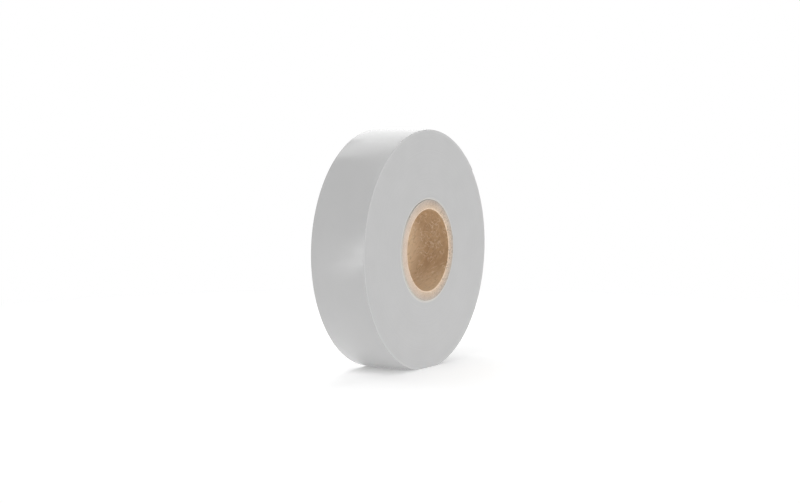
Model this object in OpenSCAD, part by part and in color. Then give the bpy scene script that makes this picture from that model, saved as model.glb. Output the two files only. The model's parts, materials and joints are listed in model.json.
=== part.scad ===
// Roll of vinyl electrical tape on a spiral-wound paper core, standing on its tread.
// The origin is the centre of the bore, the bore runs along Y and +Z is up. Sizes are in millimetres.
// The tape winds clockwise as seen from -Y, with its adhesive on the inside.

/* [Tape] */
// Width of the tape
tape_w = 19; // [12:0.5:50]
// Thickness of the vinyl film
film_t = 0.12; // [0.08:0.01:0.25]
// Thickness of the adhesive under the film
adhesive_t = 0.03; // [0.03:0.01:0.06]
// Diameter of the roll where its outer turn starts
roll_d = 76; // [58:1:120]
// Depth of the flat that the soft roll settles on
flat_depth = 0.5; // [0.3:0.1:1]

/* [Free end] */
// Length of tape that peels up at the free end
tail_len = 15; // [8:1:30]
// Place of the cut end round the roll, in degrees up from +X
tail_angle = 40; // [15:1:55]
// Lift of the free end off the turn below
tail_lift = 0.1; // [0.05:0.05:0.3]
// Gap at the fold line, between the free end and the outer turn
fold_gap = 0.2; // [0.15:0.05:0.4]

/* [Core] */
// Diameter of the bore
bore_d = 26; // [20:0.5:38]
// Number of paper plies in the wall
ply_count = 6; // [3:1:8]
// Thickness of one paper ply
ply_t = 0.46; // [0.3:0.02:0.7]
// Thickness of the glue between two plies
glue_t = 0.04; // [0.03:0.01:0.08]
// How far the core stands out of the tape at each side
core_proud = 0.25; // [0:0.05:1]
// Chamfer that the knife leaves round the mouth of the bore
bore_chamfer = 0.15; // [0.05:0.05:0.25]
// Slant of the ply seams, in degrees from the bore's axis
seam_angle = 62; // [30:1:65]
// Gap where a ply's edges meet, measured round the core
seam_gap = 0.3; // [0.2:0.05:0.6]

/* [Hidden] */
$fn = 256;
cut = 0.5;                 // how far a cutter reaches past the face that it opens
seam_slices = 32;          // flat steps in a seam's twist
points_per_turn = 24;      // points along the outer turn that its gap is measured on

tape_t = film_t + adhesive_t;
roll_r = roll_d / 2;
pack_r = roll_r - tape_t;                     // the outer turn starts on the pack here
floor_z = flat_depth - roll_r;                // the surface that the roll stands on
tail_sweep = tail_len / roll_r * 180 / PI;
fold_sweep = fold_gap / roll_r * 180 / PI;
turn_sweep = 360 - tail_sweep - fold_sweep;   // how far round the outer turn goes
reach = roll_d;                               // longer than any radius, for cutters

ply_pitch = ply_t + glue_t;
core_r = bore_d / 2 + ply_count * ply_pitch - glue_t;
core_w = tape_w + 2 * core_proud;

vinyl_grey = [0.76, 0.76, 0.76];
kraft_brown = [0.62, 0.49, 0.37];
board_tan = [0.82, 0.73, 0.65];

function ply_name(i) = str("core_ply_", i);
function ply_r(i) = bore_d / 2 + (i - 1) * ply_pitch;

// A winding grows by one tape thickness in a turn. Two half circles, with centres half a thickness apart,
// follow it without a kink. Angles count clockwise from the cut end.
function arc_centre(a) = a <= 180 ? [0, 0] : [tape_t / 2, 0];
function arc_growth(a) = a <= 180 ? 0 : tape_t / 2;
function turn_point(a) =
    arc_centre(a) + (roll_r - film_t / 2 + arc_growth(a)) * [cos(a), -sin(a)];

// The outer turn's own points, and the least gap between stretches of it that are over half a turn apart.
turn_points = [for (i = [0 : points_per_turn]) turn_point(i * turn_sweep / points_per_turn)];
turn_gap = min([
    for (i = [0 : points_per_turn], j = [0 : points_per_turn])
        if (j - i > points_per_turn / 2) norm(turn_points[j] - turn_points[i]) - film_t
]);
echo(outer_turn_loops = turn_sweep / 360, outer_turn_least_gap_mm = turn_gap);

// Stands a flat outline up in the XZ plane and gives it a width along the bore.
module across(width) {
    rotate([90, 0, 0]) linear_extrude(width, center = true) children();
}

// Half of a disc, below the X axis.
module half_disc(r) {
    intersection() {
        circle(r);
        translate([-reach, -reach]) square([2 * reach, reach]);
    }
}

// Outline of a wound roll: its radius is r just past the cut end and one tape thickness more a turn later.
// It stops at the height where its lowest turn lies flat.
module wound_outline(r, lowest) {
    intersection() {
        rotate(tail_angle) union() {
            half_disc(r);
            translate([tape_t / 2, 0]) mirror([0, 1]) half_disc(r + tape_t / 2);
        }
        translate([-reach, lowest]) square([2 * reach, 2 * reach]);
    }
}

// Wedge of the roll, from the cut end back along the tape.
module tail_wedge(sweep) {
    rotate(tail_angle) polygon([[0, 0], [reach, 0], reach / cos(sweep) * [cos(sweep), sin(sweep)]]);
}

// Slanting gap where the edges of a ply's strip meet. The seams are staggered round the core.
module ply_seam(i) {
    r_mid = ply_r(i) + ply_t / 2;
    length = core_w + 2 * cut;
    turn = length * tan(seam_angle) / r_mid * 180 / PI;
    rotate(i * 360 / ply_count)
        linear_extrude(length, center = true, twist = -turn, slices = seam_slices, $fn = 4)
            translate([r_mid, 0]) square([ply_t + 2 * cut, seam_gap], center = true);
}

// Chamfer round both mouths of the bore.
module bore_mouths() {
    for (side = [0, 1])
        mirror([0, 0, side]) translate([0, 0, core_w / 2 - bore_chamfer])
            cylinder(r1 = bore_d / 2, r2 = bore_d / 2 + 2 * bore_chamfer, h = 2 * bore_chamfer);
}

// One paper strip of the core, wound as a tube. The first is the kraft liner that shows in the bore.
module core_ply(i) {
    color(i == 1 ? kraft_brown : board_tan) rotate([90, 0, 0]) difference() {
        cylinder(r = ply_r(i) + ply_t, h = core_w, center = true);
        cylinder(r = ply_r(i), h = core_w + 2 * cut, center = true);
        if (i == 1) bore_mouths();
        ply_seam(i);
    }
}

// The tape wound on the core, all but its outer turn.
module tape_pack() {
    color(vinyl_grey) across(tape_w) difference() {
        wound_outline(pack_r, floor_z + tape_t);
        circle(core_r + adhesive_t);
    }
}

// The last turn of tape. It starts where the pack ends and stops at the fold line of the free end.
module outer_turn() {
    color(vinyl_grey) across(tape_w) difference() {
        wound_outline(roll_r, floor_z);
        wound_outline(roll_r - film_t, floor_z + film_t);
        tail_wedge(tail_sweep + fold_sweep);
    }
}

// The free end of the tape, which lies a little off the roll and lifts at its fold line.
module tape_tail() {
    color(vinyl_grey) across(tape_w) intersection() {
        difference() {
            wound_outline(roll_r + tail_lift, floor_z);
            wound_outline(roll_r + tail_lift - film_t, floor_z);
        }
        tail_wedge(tail_sweep);
    }
}

for (i = [1 : ply_count]) core_ply(i);
tape_pack();
outer_turn();
tape_tail();
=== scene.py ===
import json
import math

import bmesh
import bpy
from mathutils import Matrix, Vector, noise


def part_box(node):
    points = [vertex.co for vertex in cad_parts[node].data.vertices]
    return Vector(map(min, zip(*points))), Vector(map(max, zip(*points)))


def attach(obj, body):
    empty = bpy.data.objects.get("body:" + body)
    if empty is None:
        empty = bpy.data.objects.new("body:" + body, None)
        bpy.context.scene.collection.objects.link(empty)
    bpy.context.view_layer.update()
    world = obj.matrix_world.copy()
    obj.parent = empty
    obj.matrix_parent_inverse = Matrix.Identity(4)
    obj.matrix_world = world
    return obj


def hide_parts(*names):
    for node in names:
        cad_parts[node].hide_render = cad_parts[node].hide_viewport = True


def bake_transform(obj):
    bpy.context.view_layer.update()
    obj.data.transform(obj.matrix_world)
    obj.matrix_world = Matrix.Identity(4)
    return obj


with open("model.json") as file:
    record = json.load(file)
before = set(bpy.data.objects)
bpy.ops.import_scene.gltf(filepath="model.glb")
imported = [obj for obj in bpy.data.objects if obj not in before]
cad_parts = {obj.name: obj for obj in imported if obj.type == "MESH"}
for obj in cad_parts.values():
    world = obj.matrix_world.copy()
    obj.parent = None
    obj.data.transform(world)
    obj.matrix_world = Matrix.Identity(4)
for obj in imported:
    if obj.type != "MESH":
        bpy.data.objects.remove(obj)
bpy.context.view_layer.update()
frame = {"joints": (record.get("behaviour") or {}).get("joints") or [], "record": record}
mm = 0.001
touching = 0.001 * mm
wholeTurn = 2 * math.pi
boreAxis = Vector((0, 1, 0))  # turning about this goes clockwise as seen from the front

mounts = {m["name"]: m for m in frame["record"]["mounts"]}
peelLine = Vector(frame["joints"][0]["pos_m"])

# sizes that several pieces share
roll = {
    "radius": 38 * mm,  # where the last turn starts
    "pitch": 0.15 * mm,  # film and adhesive together
    "film": 0.12 * mm,
    "cutAngle": math.radians(40),  # the cut end, up from +X
    "foldAngle": math.atan2(peelLine.z, peelLine.x),
    "halfWidth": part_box("outer_turn")[1].y,
    "floor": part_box("outer_turn")[0].z,
}


# shader maths

class Wire:
    def __init__(self, finish, socket):
        self.finish = finish
        self.socket = socket

    def math(self, operation, *after, before=()):
        values = dict(enumerate((*before, self, *after)))
        return self.finish.node("ShaderNodeMath", {"operation": operation}, values)

    def __add__(self, other):
        return self.math("ADD", other)

    __radd__ = __add__

    def __mul__(self, other):
        return self.math("MULTIPLY", other)

    __rmul__ = __mul__

    def __sub__(self, other):
        return self.math("SUBTRACT", other)

    def __rsub__(self, other):
        return self.math("SUBTRACT", before=[other])

    def __truediv__(self, other):
        return self.math("DIVIDE", other)

    def __rtruediv__(self, other):
        return self.math("DIVIDE", before=[other])


class Finish:
    def __init__(self, owner):  # a new material or world
        owner.use_nodes = True
        self.owner = owner
        self.tree = owner.node_tree
        self.tree.nodes.clear()

    def node(self, kind, settings=None, sockets=None, out=0):
        made = self.tree.nodes.new(kind)
        for key, value in (settings or {}).items():
            setattr(made, key, value)
        for key, value in (sockets or {}).items():
            if isinstance(value, Wire):
                self.tree.links.new(value.socket, made.inputs[key])
            else:
                made.inputs[key].default_value = value
        return Wire(self, made.outputs[out]) if len(made.outputs) else made

    def place(self, scale=(1, 1, 1)):  # object coordinates in millimetres, stretched
        spot = self.node("ShaderNodeTexCoord", out="Object")
        sockets = {"Vector": spot, "Scale": [s / mm for s in scale]}
        return self.node("ShaderNodeMapping", {"vector_type": "POINT"}, sockets)

    def strip(self, scale, turn=0):  # the piece's own map, in millimetres along and across its strip
        spot = self.node("ShaderNodeUVMap", {"uv_map": "strip"})
        sockets = {"Vector": spot, "Rotation": (0, 0, turn), "Scale": (*scale, 1)}
        return self.node("ShaderNodeMapping", {"vector_type": "POINT"}, sockets)

    def grain(self, where, detail, rough=0.5):
        sockets = {"Vector": where, "Scale": 1, "Detail": detail, "Roughness": rough}
        return self.node("ShaderNodeTexNoise", None, sockets)

    def strands(self, where, level, core, edge):  # thin curly lines, where a smooth grain is near one level
        return self.between((self.grain(where, 1) - level).math("ABSOLUTE"), core, edge, 1, 0)

    def between(self, value, low, high, start=0.0, end=1.0):
        sockets = {"Value": value, "From Min": low, "From Max": high, "To Min": start, "To Max": end}
        return self.node("ShaderNodeMapRange", {"interpolation_type": "SMOOTHSTEP"}, sockets)

    def parts(self, vector):
        split = self.node("ShaderNodeSeparateXYZ", None, {"Vector": vector}).socket.node
        return [Wire(self, socket) for socket in split.outputs]

    def seen(self):  # 1 for rays that show the scene itself, 0 for the light that bounces about in it
        path = self.node("ShaderNodeLightPath").socket.node.outputs
        kinds = [Wire(self, path[kind]) for kind in ("Is Camera Ray", "Is Glossy Ray", "Is Transmission Ray")]
        return (kinds[0] + kinds[1] + kinds[2]).math("MINIMUM", 1)

    def mix(self, share, first, second):
        return self.node("ShaderNodeMix", {"data_type": "RGBA"}, {0: share, 6: first, 7: second}, out=2)

    def bump(self, height, distance):
        return self.node("ShaderNodeBump", None, {"Height": height, "Distance": distance, "Strength": 1})

    def surface(self, **sockets):
        named = {key.replace("_", " ").title(): value for key, value in sockets.items()}
        if "Ior" in named:
            named["IOR"] = named.pop("Ior")
        shader = self.node("ShaderNodeBsdfPrincipled", None, named)
        self.node("ShaderNodeOutputMaterial", None, {"Surface": shader})
        return self.owner


def grey(value):
    return (value, value, value, 1)


midGrain = (0.3, 0.7)  # most of a grain's values lie between these

filmLook = {
    "shades": (0.49, 0.51),
    "rough": (0.17, 0.24),
    "ior": 1.54,
    "cloudGrain": (0.09, 0.12, 0.09),
    "streakGrain": (0.05, 2.2, 0.05),  # long along the tape, fine across it
    "streaks": 0.003 * mm,
}


def vinylFilm():
    f = Finish(bpy.data.materials.new("vinyl film"))
    streak = f.grain(f.place(filmLook["streakGrain"]), 3)
    cloud = f.grain(f.place(filmLook["cloudGrain"]), 2)
    shade = f.mix(cloud, *map(grey, filmLook["shades"]))
    rough = f.between(cloud, *midGrain, *filmLook["rough"])
    normal = f.bump(streak, filmLook["streaks"])
    return f.surface(base_color=shade, roughness=rough, ior=filmLook["ior"], normal=normal)


edgeLook = {
    "shade": 0.53,
    "mottle": (0.975, 1.02),
    "rough": 0.55,
    "cloudGrain": (0.12, 0.12, 0.12),
    "ringGrain": 2.3,
    "turnRidge": 0.012 * mm,
    "ringRidge": 3,  # how much higher the uneven rings are than a turn's own ridge
    "coreGlint": (0.63, 0.612, 0.58, 1),  # painted highlight: paler next to the core, where the first turns catch the light
    "coreGlintEnd": (16.3, 16.9),
    "rimHighlight": 0.58,  # painted highlight: and paler along the rim, where the rounded rim catches the light
    "rimHighlightStart": (37.0, 37.9),
}


def vinylEdge():
    f = Finish(bpy.data.materials.new("vinyl cut edge"))
    x, _, z = f.parts(f.place())
    radius = (x * x + z * z).math("SQRT")
    angle = z.math("ARCTAN2", x)
    turns = radius / (roll["pitch"] / mm) + angle / wholeTurn  # counts the turns of the winding
    ridge = (turns * wholeTurn).math("SINE")
    sockets = {"W": radius, "Scale": edgeLook["ringGrain"], "Detail": 3}
    rings = f.node("ShaderNodeTexNoise", {"noise_dimensions": "1D"}, sockets)
    cloud = f.grain(f.place(edgeLook["cloudGrain"]), 3)
    tone = (rings + cloud) / 2
    vinyl = f.mix(f.between(tone, *midGrain), *[grey(edgeLook["shade"] * part) for part in edgeLook["mottle"]])
    # painted highlight: paler along the rim
    vinyl = f.mix(f.between(radius, *edgeLook["rimHighlightStart"]), vinyl, grey(edgeLook["rimHighlight"]))
    # painted highlight: paler next to the core
    shade = f.mix(f.between(radius, *edgeLook["coreGlintEnd"]), edgeLook["coreGlint"], vinyl)
    normal = f.bump((ridge + rings * edgeLook["ringRidge"]) / 2, edgeLook["turnRidge"])
    return f.surface(base_color=shade, roughness=edgeLook["rough"], normal=normal)


adhesiveLook = {
    "dark": (0.40, 0.395, 0.38, 1),
    "light": (0.46, 0.455, 0.44, 1),
    "rough": 0.18,
    "pitGrain": (0.8, 0.8, 0.8),
    "pits": 0.01 * mm,
}


def adhesiveFace():
    f = Finish(bpy.data.materials.new("adhesive"))
    pits = f.grain(f.place(adhesiveLook["pitGrain"]), 3)
    shade = f.mix(pits, adhesiveLook["dark"], adhesiveLook["light"])
    normal = f.bump(pits, adhesiveLook["pits"])
    return f.surface(base_color=shade, roughness=adhesiveLook["rough"], normal=normal)


linerLook = {
    "rough": 0.6,
    "relief": 0.04 * mm,
    "dark": (0.44, 0.28, 0.155, 1),
    "light": (0.555, 0.377, 0.218, 1),
    "strand": (0.70, 0.55, 0.39, 1),
    "stain": (0.27, 0.16, 0.08, 1),
    "paintedLight": (0.81, 0.625, 0.425, 1),  # painted light: the bore is paler towards its back end, where light comes in, and low down, where light falls
    "paintedLightBack": (-2, 7),
    "paintedLightLow": (-4, -13),
    "paintedLightLowShare": 0.6,
    "streakGrain": (0.10, 0.9),  # along the strip
    "cloudGrain": (0.35, 0.35),
    "toneShares": (0.4, 0.6),  # of the streaks and the clouds
    "toneRange": (0.34, 0.66),
    "patchGrain": (0.14, 0.14),  # the fine strands lie in patches
    "patchRange": (0.4, 0.6),
    "curlsFrom": (0.45, 0.62),  # the clouds in which the strands show
    "wispsFrom": (0.56, 0.44),
    "strandShare": 0.9,
    "stainShare": 0.5,
}
linerStrands = {  # grain along and across the strip, turn, level, then half widths of a line's core and edge
    "curls": ((0.32, 0.45), 0, 0.5, 0.008, 0.03),
    "wisps": ((0.55, 0.9), 0.5, 0.52, 0.01, 0.045),
    "stains": ((0.25, 0.8), 0.3, 0.5, 0.008, 0.04),
}


def kraftLiner():
    f = Finish(bpy.data.materials.new("kraft liner"))
    _, y, z = f.parts(f.place())
    curls, wisps, stains = [f.strands(f.strip(grain, turn), *line)
                            for grain, turn, *line in linerStrands.values()]
    streaks = f.grain(f.strip(linerLook["streakGrain"]), 3, 0.6)
    cloud = f.grain(f.strip(linerLook["cloudGrain"]), 4, 0.6)
    patch = f.between(f.grain(f.strip(linerLook["patchGrain"]), 1), *linerLook["patchRange"])
    strand = curls * f.between(cloud, *linerLook["curlsFrom"])
    strand = strand.math("MAXIMUM", wisps * f.between(cloud, *linerLook["wispsFrom"]) * patch)
    streakShare, cloudShare = linerLook["toneShares"]
    tone = f.between(streakShare * streaks + cloudShare * cloud, *linerLook["toneRange"])
    paper = f.mix(tone, linerLook["dark"], linerLook["light"])
    # painted light: paler towards the back end and low down in the bore
    low = f.between(z, *linerLook["paintedLightLow"]) * linerLook["paintedLightLowShare"]
    paintedLightMask = f.between(y, *linerLook["paintedLightBack"]).math("MAXIMUM", low)
    paper = f.mix(paintedLightMask, paper, linerLook["paintedLight"])
    paper = f.mix(stains * tone * linerLook["stainShare"], paper, linerLook["stain"])
    shade = f.mix(strand * linerLook["strandShare"], paper, linerLook["strand"])
    normal = f.bump((tone + strand) / 2, linerLook["relief"])
    return f.surface(base_color=shade, roughness=linerLook["rough"], normal=normal)


boardLook = {
    "rough": 0.85,
    "fleck": 0.06 * mm,
    "fleckGrain": (2.2, 2.2, 2.2),
    "cloudGrain": (0.3, 0.3, 0.3),
    "toneShares": (0.65, 0.35),  # of the flecks and the clouds
    "toneRange": (0.32, 0.66),
    "glueLine": (0.14, 0.03),  # dark where the next ply is stuck on, this far in from its edge
    "glueShare": 0.25,
    "speck": (0.30, 0.23, 0.17, 1),
    "speckGrain": (1.5, 1.5, 1.5),
    "speckRange": (0.63, 0.70),
    "speckShare": 0.6,
    "speckShadeLean": 0.006,  # painted shade: more of them to the right, where the ring lies in shade
    "paintedLight": (0.84, 0.69, 0.59, 1),  # painted light: and paler to the left, where the light falls
    "paintedLightSide": (4, -14),
    "paintedLightShare": 0.35,
}


def coreBoard(name, low, high, outer):
    f = Finish(bpy.data.materials.new(name))
    x, _, z = f.parts(f.place())
    radius = (x * x + z * z).math("SQRT")
    glue = f.between(radius, *[outer - inwards for inwards in boardLook["glueLine"]])
    fleck = f.grain(f.place(boardLook["fleckGrain"]), 4, 0.65)
    cloud = f.grain(f.place(boardLook["cloudGrain"]), 2)
    # painted shade: more dark specks to the right
    dots = f.grain(f.place(boardLook["speckGrain"]), 2) + boardLook["speckShadeLean"] * x
    speck = f.between(dots, *boardLook["speckRange"])
    fleckShare, cloudShare = boardLook["toneShares"]
    tone = f.between(fleckShare * fleck + cloudShare * cloud, *boardLook["toneRange"])
    # painted light: paler to the left
    paintedLightMask = f.between(x, *boardLook["paintedLightSide"]) * boardLook["paintedLightShare"]
    board = f.mix(paintedLightMask, f.mix(tone, low, high), boardLook["paintedLight"])
    shade = f.mix(glue * boardLook["glueShare"] + speck * boardLook["speckShare"], board, boardLook["speck"])
    return f.surface(base_color=shade, roughness=boardLook["rough"], normal=f.bump(fleck, boardLook["fleck"]))


wrapLook = {
    "dark": (0.76, 0.73, 0.66, 1),
    "light": (0.84, 0.81, 0.74, 1),
    "rough": 0.7,
    "fibreGrain": (0.3, 1.2),
    "fibres": 0.03 * mm,
}


def coreWrap():
    f = Finish(bpy.data.materials.new("core wrap"))
    fibre = f.grain(f.strip(wrapLook["fibreGrain"]), 3, 0.6)
    shade = f.mix(f.between(fibre, *midGrain), wrapLook["dark"], wrapLook["light"])
    return f.surface(base_color=shade, roughness=wrapLook["rough"], normal=f.bump(fibre, wrapLook["fibres"]))


film = vinylFilm()
cutEdge = vinylEdge()
adhesive = adhesiveFace()
liner = kraftLiner()
wrap = coreWrap()
print("materials made")


# making pieces

def finishPiece(name, bm, materials, body, nodes):
    mesh = bpy.data.meshes.new(name)
    bm.normal_update()
    bm.to_mesh(mesh)
    bm.free()
    for material in materials:
        mesh.materials.append(material)
    piece = bpy.data.objects.new(name, mesh)
    bpy.context.scene.collection.objects.link(piece)
    if body:
        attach(piece, body)
    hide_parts(*nodes)
    print("made", name, len(mesh.polygons), "faces")
    return piece


def spin(bm, angle, steps):  # everything so far goes round the bore
    spun = bmesh.ops.spin(bm, geom=bm.verts[:] + bm.edges[:], cent=(0, 0, 0), axis=boreAxis, angle=angle,
                          steps=steps, use_merge=False, use_duplicate=False)
    return spun["geom_last"]


def roundOff(bm, edges, size, segments):
    bmesh.ops.bevel(bm, geom=edges, offset=size, offset_type="OFFSET", affect="EDGES", segments=segments,
                    profile=0.5, material=-1)


def shadeSmooth(bm, sharpDegrees):
    for face in bm.faces:
        face.smooth = True
    for edge in bm.edges:
        edge.smooth = len(edge.link_faces) == 2 and edge.calc_face_angle(0) < math.radians(sharpDegrees)


def atAngle(radius, y, angle):
    return Vector((radius * math.cos(angle), y, radius * math.sin(angle)))


def windAngle(co):  # clockwise from the cut end, 0 to a whole turn
    return (roll["cutAngle"] - math.atan2(co.z, co.x)) % wholeTurn


def setRadius(co, radius):
    length = math.hypot(co.x, co.z)
    co.x *= radius / length
    co.z *= radius / length


def growth(turned):  # two arcs that gain one tape thickness in a turn
    return 0 if turned <= math.pi else roll["pitch"] / 2 * (1 + math.cos(turned))


# The film is slightly crowned, most of all near its edges, and it lies in soft swells.
tread = {"crown": 0.22 * mm, "crownPower": 3, "edgeWidth": 2 * mm, "swell": 0.03 * mm, "swellSize": 16 * mm}


def treadRelief(co):
    around = co.copy()
    setRadius(around, roll["radius"])
    swell = 0.5 + 0.5 * noise.noise(around / tread["swellSize"])
    near = max(0, 1 - (roll["halfWidth"] - abs(co.y)) / tread["edgeWidth"])
    crown = tread["crown"] * (1 - abs(co.y / roll["halfWidth"]) ** tread["crownPower"])
    return crown + tread["swell"] * swell * (1 - near ** 2)


def lieFlat(co, above):  # the turns settle on the floor
    co.z = max(co.z, roll["floor"] + above)


pack = {
    "turns": 146,
    "steps": 192,
    "across": 38,
    "ringSway": 0.006 * mm,
    "swayRates": (0.83, 0.11),  # from one turn to the next, and over many
    "swayRows": (7.1, 3.3),  # which rows of the noise they take
    "dish": 0.05 * mm,
    "dishMiddle": 27 * mm,
    "dishReach": 11 * mm,
    "boreRadius": 15.99 * mm,
    "slack": 0.19 * mm,  # the first turns stand off the core here
    "slackAngles": (58, 124),  # degrees up from +X
    "slackSpread": 24,
    "slackDepth": 2.2 * mm,  # into the turns
    "slackStart": 6 * mm,  # from the middle of the bore
    "lip": 0.14 * mm,  # and come forward at the top
    "lipRadius": 16.3 * mm,
    "lipWidth": 0.5 * mm,
    "sharp": 40,
}


def slackAt(angle):
    gap = 0
    for middle in pack["slackAngles"]:
        off = math.degrees(math.remainder(angle - math.radians(middle), wholeTurn)) / pack["slackSpread"]
        gap += math.exp(-off * off)
    return gap


def makePack():
    bm = bmesh.new()
    first = roll["radius"] - roll["pitch"] * pack["turns"]
    last = roll["radius"] - roll["pitch"]
    half = roll["halfWidth"]
    corners = [(pack["boreRadius"], -half), (first, -half), (last, -half),
               (last, half), (first, half), (pack["boreRadius"], half)]
    verts = [bm.verts.new(atAngle(r, y, roll["cutAngle"])) for r, y in corners]
    sides = [bm.edges.new((verts[i], verts[(i + 1) % len(verts)])) for i in range(len(verts))]
    bmesh.ops.subdivide_edges(bm, edges=[sides[1], sides[3]], cuts=pack["turns"] - 2)
    bmesh.ops.subdivide_edges(bm, edges=[sides[2], sides[5]], cuts=pack["across"] - 1)
    start = set(bm.verts)
    end = {v for v in spin(bm, wholeTurn, pack["steps"]) if isinstance(v, bmesh.types.BMVert)}
    for v in bm.verts:
        radius = math.hypot(v.co.x, v.co.z)
        angle = math.atan2(v.co.z, v.co.x)
        front = math.copysign(1, v.co.y)
        onSide = abs(abs(v.co.y) - half) < touching
        turned = 0 if v in start else wholeTurn if v in end else windAngle(v.co)
        wound = radius
        if radius > first - touching:
            wound += growth(turned)
        if radius > last - touching:
            wound += treadRelief(v.co)
        inwards = max(0, 1 - (radius - pack["boreRadius"]) / pack["slackDepth"])
        mouth = max(0, min(1, (abs(v.co.y) - pack["slackStart"]) / (half - pack["slackStart"])))
        setRadius(v.co, wound + pack["slack"] * slackAt(angle) * inwards ** 2 * mouth ** 2)
        if onSide:
            near, wide = [rate * (wound / roll["pitch"] - angle / wholeTurn) for rate in pack["swayRates"]]
            nearRow, wideRow = pack["swayRows"]
            sway = noise.noise(Vector((near, front * nearRow, 0))) + noise.noise(Vector((wide, wideRow, front)))
            hollow = max(0, 1 - ((radius - pack["dishMiddle"]) / pack["dishReach"]) ** 2)
            lip = max(0, 1 - abs(radius - pack["lipRadius"]) / pack["lipWidth"]) * max(0, math.sin(angle))
            v.co.y += front * (sway * pack["ringSway"] - hollow * pack["dish"] + lip * pack["lip"])
        lieFlat(v.co, roll["pitch"])
    bmesh.ops.remove_doubles(bm, verts=bm.verts[:], dist=touching)
    bmesh.ops.holes_fill(bm, edges=[e for e in bm.edges if e.is_boundary])
    bmesh.ops.recalc_face_normals(bm, faces=bm.faces[:])
    shadeSmooth(bm, pack["sharp"])
    for face in bm.faces:
        face.material_index = 1 if abs(face.normal.y) > 0.7 else 0  # the cut edges face along the bore
    finishPiece("wound_turns", bm, [film, cutEdge], "roll", ["tape_pack"])


makePack()


filmRim = {"round": 0.05 * mm, "holdingLoop": 0.08, "adhesive": 0.026 * mm, "sharp": 50}


def filmStrip(startAngle, sweep, steps, across, lift):
    bm = bmesh.new()
    half = roll["halfWidth"]
    ends = [bm.verts.new(atAngle(roll["radius"], y, startAngle)) for y in (-half, half)]
    bmesh.ops.subdivide_edges(bm, edges=[bm.edges.new(ends)], cuts=across - 1)
    for end in [v for v in bm.verts if len(v.link_edges) == 1]:  # a loop close to each rim keeps it straight
        bmesh.utils.edge_split(end.link_edges[0], end, filmRim["holdingLoop"])
    start = set(bm.verts)
    spin(bm, sweep, steps)
    for v in bm.verts:
        turned = 0 if v in start and startAngle == roll["cutAngle"] else windAngle(v.co)
        setRadius(v.co, roll["radius"] + growth(turned) + treadRelief(v.co) + lift(turned))
        lieFlat(v.co, 0)
    bmesh.ops.recalc_face_normals(bm, faces=bm.faces[:])
    outside = Vector((1, 0, 1))
    if bm.faces[0].normal.dot(bm.faces[0].calc_center_median() * outside) < 0:
        bmesh.ops.reverse_faces(bm, faces=bm.faces[:])
    rims = [e for e in bm.edges if e.is_boundary and abs(e.verts[0].co.y - e.verts[1].co.y) < touching / 10]
    bmesh.ops.solidify(bm, geom=bm.faces[:], thickness=roll["film"] + filmRim["adhesive"])
    roundOff(bm, rims, filmRim["round"], 2)
    shadeSmooth(bm, filmRim["sharp"])
    for face in bm.faces:
        outward = face.normal.dot((face.calc_center_median() * outside).normalized())
        onEdge, inside = abs(face.normal.y) > 0.9, outward < -0.5
        face.material_index = 1 if onEdge else 2 if inside else 0
    return bm


lastTurn = {"steps": 600, "across": 24}


def makeLastTurn():
    sweep = wholeTurn - (roll["foldAngle"] - roll["cutAngle"])
    bm = filmStrip(roll["cutAngle"], sweep, lastTurn["steps"], lastTurn["across"], lambda turned: 0)
    finishPiece("last_turn", bm, [film, cutEdge, adhesive], "roll", ["outer_turn"])


makeLastTurn()


freeEnd = {
    "steps": 150,
    "across": 24,
    "lift": 0.10 * mm,
    "bendLength": 1.5 * mm,
    "short": 1e-4,  # it stops just before the cut end, where the winding angle starts again
}


def makeFreeEnd():
    sweep = roll["foldAngle"] - roll["cutAngle"]

    def lift(turned):
        along = min(1, max(0, 1 - (wholeTurn - turned) / sweep))  # 0 at the fold, 1 at the cut end
        return along ** 2 * freeEnd["lift"]

    bm = filmStrip(roll["foldAngle"], sweep - freeEnd["short"], freeEnd["steps"], freeEnd["across"], lift)
    piece = finishPiece("free_end", bm, [film, cutEdge, adhesive], None, ["tape_tail"])
    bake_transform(piece)


makeFreeEnd()


core = {
    "plies": 6,
    "bore": mounts["core_bore"]["dims"]["r_mm"] * mm,
    "paper": 0.46 * mm,
    "pitch": 0.5 * mm,
    "seamGap": 0.3 * mm,
    "seamAngle": math.radians(62),  # between a strip's edge and the bore
    "seamReach": 10.25 * mm,
    "wrapGuard": 1e-5,  # keeps the strip's first edge from counting as its last
    "steps": 160,
    "along": 24,
    "through": 4,
    "fray": 0.05 * mm,
    "fraySizes": (0.7 * mm, 3 * mm),
    "frayShares": (1, 0.6),
    "frayLow": 0.4,
    "mouth": 0.15 * mm,  # the knife's chamfer round the bore
    "sharp": 50,
}
boardTones = [  # darker and lighter shade of each ply's cut end, from the bore outwards
    ((0.76, 0.58, 0.43, 1), (0.92, 0.74, 0.57, 1)),
    ((0.60, 0.455, 0.335, 1), (0.74, 0.58, 0.44, 1)),
    ((0.57, 0.435, 0.325, 1), (0.70, 0.56, 0.435, 1)),
    ((0.55, 0.43, 0.34, 1), (0.665, 0.545, 0.445, 1)),
    ((0.50, 0.405, 0.335, 1), (0.615, 0.515, 0.435, 1)),
    ((0.455, 0.385, 0.335, 1), (0.56, 0.485, 0.425, 1)),
]


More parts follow.
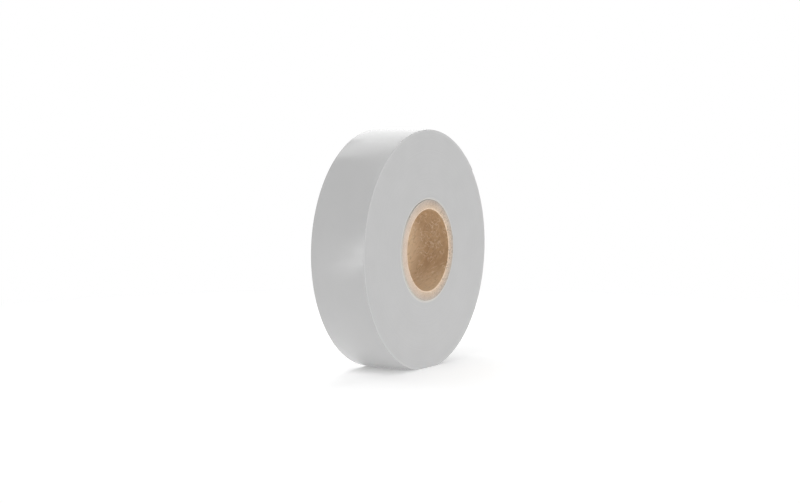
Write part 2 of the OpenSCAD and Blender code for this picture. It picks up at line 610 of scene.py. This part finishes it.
def makePly(number):
    bm = bmesh.new()
    node = "core_ply_%d" % number
    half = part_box(node)[1].y
    inner = core["bore"] + (number - 1) * core["pitch"]
    outer = inner + core["paper"]
    middle = (inner + outer) / 2
    lean = math.tan(core["seamAngle"]) / middle
    seam = number * wholeTurn / core["plies"] + core["seamReach"] * lean - core["seamGap"] / middle / 2
    corners = ((inner, -half), (outer, -half), (outer, half), (inner, half))
    verts = [bm.verts.new(atAngle(r, y, seam)) for r, y in corners]
    sides = [bm.edges.new((verts[i], verts[(i + 1) % 4])) for i in range(4)]
    bmesh.ops.subdivide_edges(bm, edges=[sides[1], sides[3]], cuts=core["along"] - 1)
    bmesh.ops.subdivide_edges(bm, edges=[sides[0], sides[2]], cuts=core["through"] - 1)
    first = bm.edges[:]
    spun = spin(bm, wholeTurn - core["seamGap"] / middle, core["steps"])
    last = [e for e in spun if isinstance(e, bmesh.types.BMEdge)]
    for chain in (first, last):
        longways = [e for e in chain if abs(e.verts[0].co.y - e.verts[1].co.y) > touching]
        bmesh.ops.bridge_loops(bm, edges=longways)
    if number == 1:
        rims = [e for e in bm.edges if all(abs(abs(v.co.y) - half) < touching / 10 for v in e.verts)
                and all(math.hypot(v.co.x, v.co.z) < inner + touching for v in e.verts)]
        roundOff(bm, rims, core["mouth"], 3)
    bmesh.ops.recalc_face_normals(bm, faces=bm.faces[:])
    strip = bm.loops.layers.uv.new("strip")
    along, across = math.sin(core["seamAngle"]), math.cos(core["seamAngle"])
    for face in bm.faces:
        face.material_index = 1 if abs(face.normal.y) < 0.3 else 0  # the strip's faces, and its cut ends
        for loop in face.loops:
            spot = loop.vert.co
            wound = (seam - math.atan2(spot.z, spot.x) + core["wrapGuard"]) % wholeTurn
            arc = -(wound + spot.y * lean) * middle / mm
            loop[strip].uv = (arc * along - spot.y / mm * across, arc * across + spot.y / mm * along)
    for v in bm.verts:
        if abs(abs(v.co.y) - half) < touching:
            fine, coarse = [v.co / size for size in core["fraySizes"]]
            fineShare, coarseShare = core["frayShares"]
            frayed = fineShare * noise.noise(fine + Vector((0, number, 0))) + coarseShare * noise.noise(coarse)
            v.co.y += math.copysign(core["fray"] * (frayed - core["frayLow"]), v.co.y)
        v.co.rotate(Matrix.Rotation(v.co.y * lean, 3, boreAxis))
    shadeSmooth(bm, core["sharp"])
    board = coreBoard("core board %d" % number, *boardTones[number - 1], outer / mm)
    face, slot = (liner, "kraft_liner") if number == 1 else (wrap, "core_paper")
    finishPiece("paper_ply_%d" % number, bm, [board, face], "roll", [node])


for number in range(1, core["plies"] + 1):
    makePly(number)
print("core made")


# the photograph's view
shot = {
    "azimuth": -58.993,
    "elevation": 4.502,
    "distance": 582.16 * mm,
    "aside": 0.61 * mm,
    "above": 0.806 * mm,
    "lens": 82.03,
    "clip": (0.01, 50),
}


def towards(azimuth, elevation):  # azimuth 0 is the front
    turn, rise = math.radians(azimuth), math.radians(elevation)
    return Vector((math.sin(turn) * math.cos(rise), -math.cos(turn) * math.cos(rise), math.sin(rise)))


def makeCamera():
    back = towards(shot["azimuth"], shot["elevation"])
    right = towards(shot["azimuth"] + 90, 0)
    up = back.cross(right)
    data = bpy.data.cameras.new("camera")
    data.lens = shot["lens"]
    data.clip_start, data.clip_end = shot["clip"]
    camera = bpy.data.objects.new("camera", data)
    camera.location = back * shot["distance"] - right * shot["aside"] - up * shot["above"]
    camera.rotation_mode = "QUATERNION"
    camera.rotation_quaternion = (-back).to_track_quat("-Z", "Y")
    bpy.context.scene.collection.objects.link(camera)
    bpy.context.scene.camera = camera


makeCamera()


# studio
studio = {
    "ambient": 0.414,
    "floorSize": 20,
    "floorShade": 0.85,
    "floorGlow": (0.45, 0.31),  # light that comes back off the floor, near the roll and further out
    "glowReach": (35 * mm, 75 * mm),
    "floorSeen": 1.3,
    "white": (120 * mm, 250 * mm),  # the floor turns to plain white this far out
}
lamps = [
    # name, azimuth and elevation from the roll, distance, width, height, brightness, facing up or the roll
    ("left", -89, 52.5, 1, 0.326, 0.263, 4.1, False),
    ("low left", -113, 0.855, 0.6, 0.06, 0.0871, 5.5, False),
    ("mid left", -112.5, 9.56, 0.6085, 0.0524, 0.0971, 2.6, False),
    ("floor strip", -113, -6.41, 0.327, 0.034, 0.25, 5.0, True),
    ("near strip", -112.5, -12.85, 0.164, 0.015, 0.08, 1.6, True),
    ("front", -59, 45, 1, 0.375, 0.536, 1.1, False),
    ("side left", -29, 15, 1, 0.51, 0.536, 0.6, False),
    ("side", 1, 7.5, 1, 0.531, 0.263, 3.7, False),
    ("side right", 31, 7.5, 1, 0.531, 0.263, 0.53, False),
    ("right", 91, 37.5, 1, 0.425, 0.263, 2.8, False),
    ("back", 121, 41, 1, 0.42, 0.32, 1.25, False),
    ("back mid", 121, 26, 1, 0.485, 0.23, 0.9, False),
    ("back low", 121, 10, 1, 0.52, 0.35, 0.6, False),
    ("back high", 149, 51, 1, 0.34, 0.263, 1.34, False),
    ("far", 181, 37.5, 1, 0.425, 0.263, 2.17, False),
    ("overhead", 181, 77, 1, 1.0, 0.5, 0.76, False),
]


def makeFloor():
    bm = bmesh.new()
    bmesh.ops.create_grid(bm, x_segments=1, y_segments=1, size=studio["floorSize"])
    bmesh.ops.translate(bm, verts=bm.verts[:], vec=(0, 0, roll["floor"]))
    mesh = bpy.data.meshes.new("floor")
    bm.to_mesh(mesh)
    bm.free()
    f = Finish(bpy.data.materials.new("floor"))
    x, y, _ = f.parts(f.place((mm, mm, mm)))  # metres, as the studio's sizes are
    away = (x * x + y * y).math("SQRT")
    far = f.between(away, *studio["white"])
    near = f.node("ShaderNodeBsdfDiffuse", None, {"Color": grey(studio["floorSeen"])})
    white = f.node("ShaderNodeEmission", None, {"Color": grey(1), "Strength": 1})
    shown = f.node("ShaderNodeMixShader", None, {0: far, 1: near, 2: white})
    cloth = f.node("ShaderNodeBsdfDiffuse", None, {"Color": grey(studio["floorShade"])})
    bounce = f.mix(f.between(away, *studio["glowReach"]), *map(grey, studio["floorGlow"]))
    glow = f.node("ShaderNodeEmission", None, {"Color": bounce, "Strength": 1})
    lit = f.node("ShaderNodeAddShader", None, {0: cloth, 1: glow})
    whole = f.node("ShaderNodeMixShader", None, {0: f.seen(), 1: lit, 2: shown})
    f.node("ShaderNodeOutputMaterial", None, {"Surface": whole})
    mesh.materials.append(f.owner)
    floor = bpy.data.objects.new("floor", mesh)
    bpy.context.scene.collection.objects.link(floor)


def makeLamp(name, azimuth, elevation, distance, width, height, brightness, facingUp):
    data = bpy.data.lights.new(name, "AREA")
    data.shape = "RECTANGLE"
    data.size, data.size_y = width, height
    data.energy = brightness * width * height * math.pi
    lamp = bpy.data.objects.new(name, data)
    lamp.location = towards(azimuth, elevation) * distance
    tilt = 180 if facingUp else 90 - elevation
    lamp.rotation_euler = (math.radians(tilt), 0, math.radians(azimuth))
    lamp.visible_camera = False
    bpy.context.scene.collection.objects.link(lamp)


def makeWorld():
    world = bpy.data.worlds.new("studio")
    bpy.context.scene.world = world
    f = Finish(world)
    shade = f.mix(f.seen(), grey(studio["ambient"]), grey(1))
    sky = f.node("ShaderNodeBackground", None, {"Color": shade, "Strength": 1})
    f.node("ShaderNodeOutputWorld", None, {"Surface": sky})


makeFloor()
for lamp in lamps:
    makeLamp(*lamp)
makeWorld()
bpy.context.scene.view_settings.view_transform = "Standard"
print("studio made")
